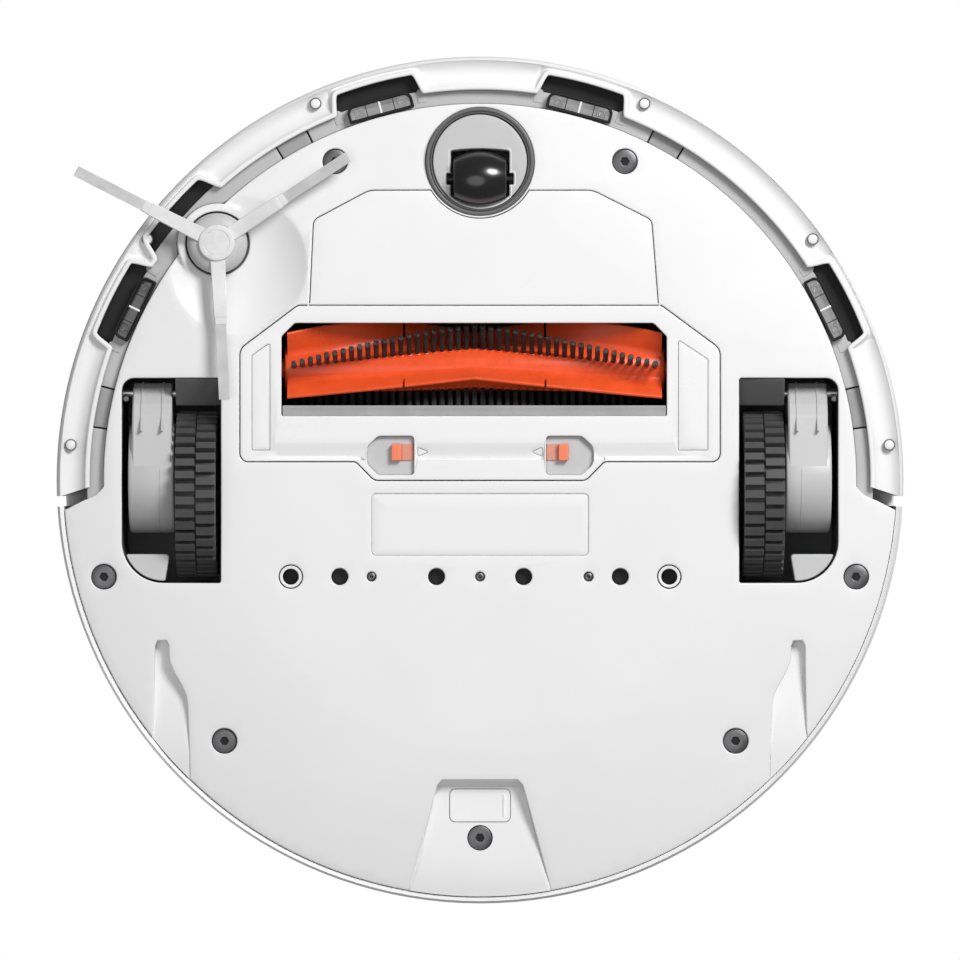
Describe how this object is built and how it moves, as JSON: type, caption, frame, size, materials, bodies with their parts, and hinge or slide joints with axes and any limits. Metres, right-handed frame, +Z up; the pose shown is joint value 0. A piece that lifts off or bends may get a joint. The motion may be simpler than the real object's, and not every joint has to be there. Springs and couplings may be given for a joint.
{
  "type": "robot vacuum",
  "caption": "Round laser-guided robot vacuum with a cross-wise main brush, a side brush, sprung drive wheels, a caster, a sprung bumper and a lidded dust bin.",
  "frame": {"origin": "on the floor under the centre of the disc", "axes": "+Z up, +Y towards the bumper and the front, +X to the robot's right, where the side brush is"},
  "size_m": [0.345, 0.345, 0.096],
  "materials": {
    "white_plastic": "satin moulded",
    "white_cover": "satin moulded",
    "grey_frame": "fine spark-eroded texture",
    "dark_plastic": "fine matte",
    "mid_grey_plastic": "satin",
    "light_grey_plastic": "satin",
    "sensor_window": "polished, see-through dark",
    "tyre_rubber": "matte rubber",
    "roller_rubber": "soft satin rubber",
    "bristle_black": "nylon bristle",
    "arm_rubber": "soft satin rubber",
    "side_bristle": "nylon bristle",
    "latch_orange": "satin moulded",
    "steel": "ground steel",
    "screw_steel": "dark zinc",
    "brass": "turned brass",
    "contact_metal": "plated",
    "belt_rubber": "ribbed rubber",
    "cap_metal": "satin lacquer",
    "bin_plastic": "smoked",
    "filter_paper": "pleated fleece",
    "battery_wrap": "shrink sleeve",
    "circuit_board": "solder mask"
  },
  "bodies": {
    "chassis": {"base_plate": "white_plastic", "duct_panel": "white_plastic", "brush_cover": "white_cover", "scraper_strip": "grey_frame", "brush_tunnel": "dark_plastic", "main_brush_bearings": "dark_plastic", "brush_motor": "steel", "brush_belt": "belt_rubber", "caster_socket": "mid_grey_plastic", "side_brush_motor": "light_grey_plastic", "left_wheel_frame": "mid_grey_plastic", "right_wheel_frame": "mid_grey_plastic", "wheel_pivot_pins": "steel", "suspension_springs": "steel", "front_frame": "grey_frame", "cliff_sensor_housings": "dark_plastic", "cliff_sensor_windows": "sensor_window", "rear_skirt": "white_plastic", "exhaust_grille": "dark_plastic", "charge_contacts": "contact_metal", "top_cover": "white_plastic", "turret_housing": "white_cover", "turret_cap": "cap_metal", "lidar_base": "mid_grey_plastic", "lidar_belt": "belt_rubber", "dust_bin": "bin_plastic", "dust_bin_filter": "filter_paper", "blower_housing": "dark_plastic", "battery_pack": "battery_wrap", "mainboard": "circuit_board", "base_screws": "screw_steel"},
    "main_brush": {"main_brush_core": "roller_rubber", "main_brush_blades": "roller_rubber", "main_brush_bristles": "bristle_black", "brush_drive_pulley": "light_grey_plastic"},
    "brush_motor_shaft": {"brush_motor_pulley": "brass"},
    "caster_fork": {"caster_swivel": "light_grey_plastic", "caster_axle": "steel"},
    "caster_roller": {"caster_wheel": "tyre_rubber"},
    "side_brush": {"side_brush_hub": "white_cover", "side_brush_arms": "arm_rubber", "side_brush_bristles": "side_bristle"},
    "left_arm": {"left_gearbox": "light_grey_plastic"},
    "right_arm": {"right_gearbox": "light_grey_plastic"},
    "left_wheel": {"left_rim": "mid_grey_plastic", "left_tyre": "tyre_rubber", "left_axle": "steel"},
    "right_wheel": {"right_rim": "mid_grey_plastic", "right_tyre": "tyre_rubber", "right_axle": "steel"},
    "bumper": {"bumper": "white_plastic", "bumper_plugs": "white_cover"},
    "lid": {"lid": "white_cover"},
    "left_latch": {"left_latch": "latch_orange"},
    "right_latch": {"right_latch": "latch_orange"},
    "power_button": {"power_button": "cap_metal"},
    "home_button": {"home_button": "cap_metal"},
    "lidar_head": {"lidar_rotor": "dark_plastic"},
    "lidar_motor_shaft": {"lidar_motor_pulley": "brass"},
    "fan": {"fan_impeller": "light_grey_plastic"}
  },
  "joints": [
    {"name": "main_brush_spin", "type": "hinge", "parent": "chassis", "child": "main_brush", "pos_m": [0, 0.0456, 0.025], "axis": [1, 0, 0], "continuous": true},
    {"name": "brush_motor_spin", "type": "hinge", "parent": "chassis", "child": "brush_motor_shaft", "pos_m": [-0.088, 0.006, 0.038], "axis": [1, 0, 0], "continuous": true},
    {"name": "caster_swivel_turn", "type": "hinge", "parent": "chassis", "child": "caster_fork", "pos_m": [0, 0.1295, 0.03], "axis": [0, 0, 1], "continuous": true},
    {"name": "caster_roll", "type": "hinge", "parent": "caster_fork", "child": "caster_roller", "pos_m": [0, 0.1224, 0.0113], "axis": [1, 0, 0], "continuous": true},
    {"name": "side_brush_spin", "type": "hinge", "parent": "chassis", "child": "side_brush", "pos_m": [0.1069, 0.0963, 0.012], "axis": [0, 0, 1], "continuous": true},
    {"name": "left_suspension", "type": "hinge", "parent": "chassis", "child": "left_arm", "pos_m": [-0.134, 0.0355, 0.026], "axis": [1, 0, 0], "range_deg": [0, 32], "stiffness_Nm_per_rad": 0.25, "springref_deg": 40.11},
    {"name": "right_suspension", "type": "hinge", "parent": "chassis", "child": "right_arm", "pos_m": [0.134, 0.0355, 0.026], "axis": [1, 0, 0], "range_deg": [0, 32], "stiffness_Nm_per_rad": 0.25, "springref_deg": 40.11},
    {"name": "left_wheel_spin", "type": "hinge", "parent": "left_arm", "child": "left_wheel", "pos_m": [-0.1156, -0.0057, 0.034], "axis": [1, 0, 0], "continuous": true},
    {"name": "right_wheel_spin", "type": "hinge", "parent": "right_arm", "child": "right_wheel", "pos_m": [0.1156, -0.0057, 0.034], "axis": [1, 0, 0], "continuous": true},
    {"name": "bumper_push", "type": "slide", "parent": "chassis", "child": "bumper", "axis": [0, -1, 0], "range_m": [0, 0.004], "stiffness_N_per_m": 800, "springref_m": -0.002},
    {"name": "lid_hinge", "type": "hinge", "parent": "chassis", "child": "lid", "pos_m": [0, -0.003, 0.076], "axis": [1, 0, 0], "range_deg": [0, 80]},
    {"name": "left_latch_slide", "type": "slide", "parent": "chassis", "child": "left_latch", "axis": [1, 0, 0], "range_m": [0, 0.003], "stiffness_N_per_m": 300, "springref_m": -0.002},
    {"name": "right_latch_slide", "type": "slide", "parent": "chassis", "child": "right_latch", "axis": [-1, 0, 0], "range_m": [0, 0.003], "stiffness_N_per_m": 300, "springref_m": -0.002},
    {"name": "power_button_press", "type": "slide", "parent": "chassis", "child": "power_button", "axis": [0, 0, -1], "range_m": [0, 0.0008], "stiffness_N_per_m": 600, "springref_m": -0.001},
    {"name": "home_button_press", "type": "slide", "parent": "chassis", "child": "home_button", "axis": [0, 0, -1], "range_m": [0, 0.0008], "stiffness_N_per_m": 600, "springref_m": -0.001},
    {"name": "lidar_spin", "type": "hinge", "parent": "chassis", "child": "lidar_head", "pos_m": [0, -0.075, 0.08], "axis": [0, 0, 1], "continuous": true},
    {"name": "lidar_motor_spin", "type": "hinge", "parent": "chassis", "child": "lidar_motor_shaft", "pos_m": [-0.046, -0.112, 0.066], "axis": [0, 0, 1], "continuous": true},
    {"name": "fan_spin", "type": "hinge", "parent": "chassis", "child": "fan", "pos_m": [0.028, -0.098, 0.03], "axis": [0, 0, 1], "continuous": true}
  ],
  "couplings": [
    {"joint": "brush_motor_spin", "follows": "main_brush_spin", "ratio": 2.4},
    {"joint": "lidar_motor_spin", "follows": "lidar_spin", "ratio": 6}
  ]
}
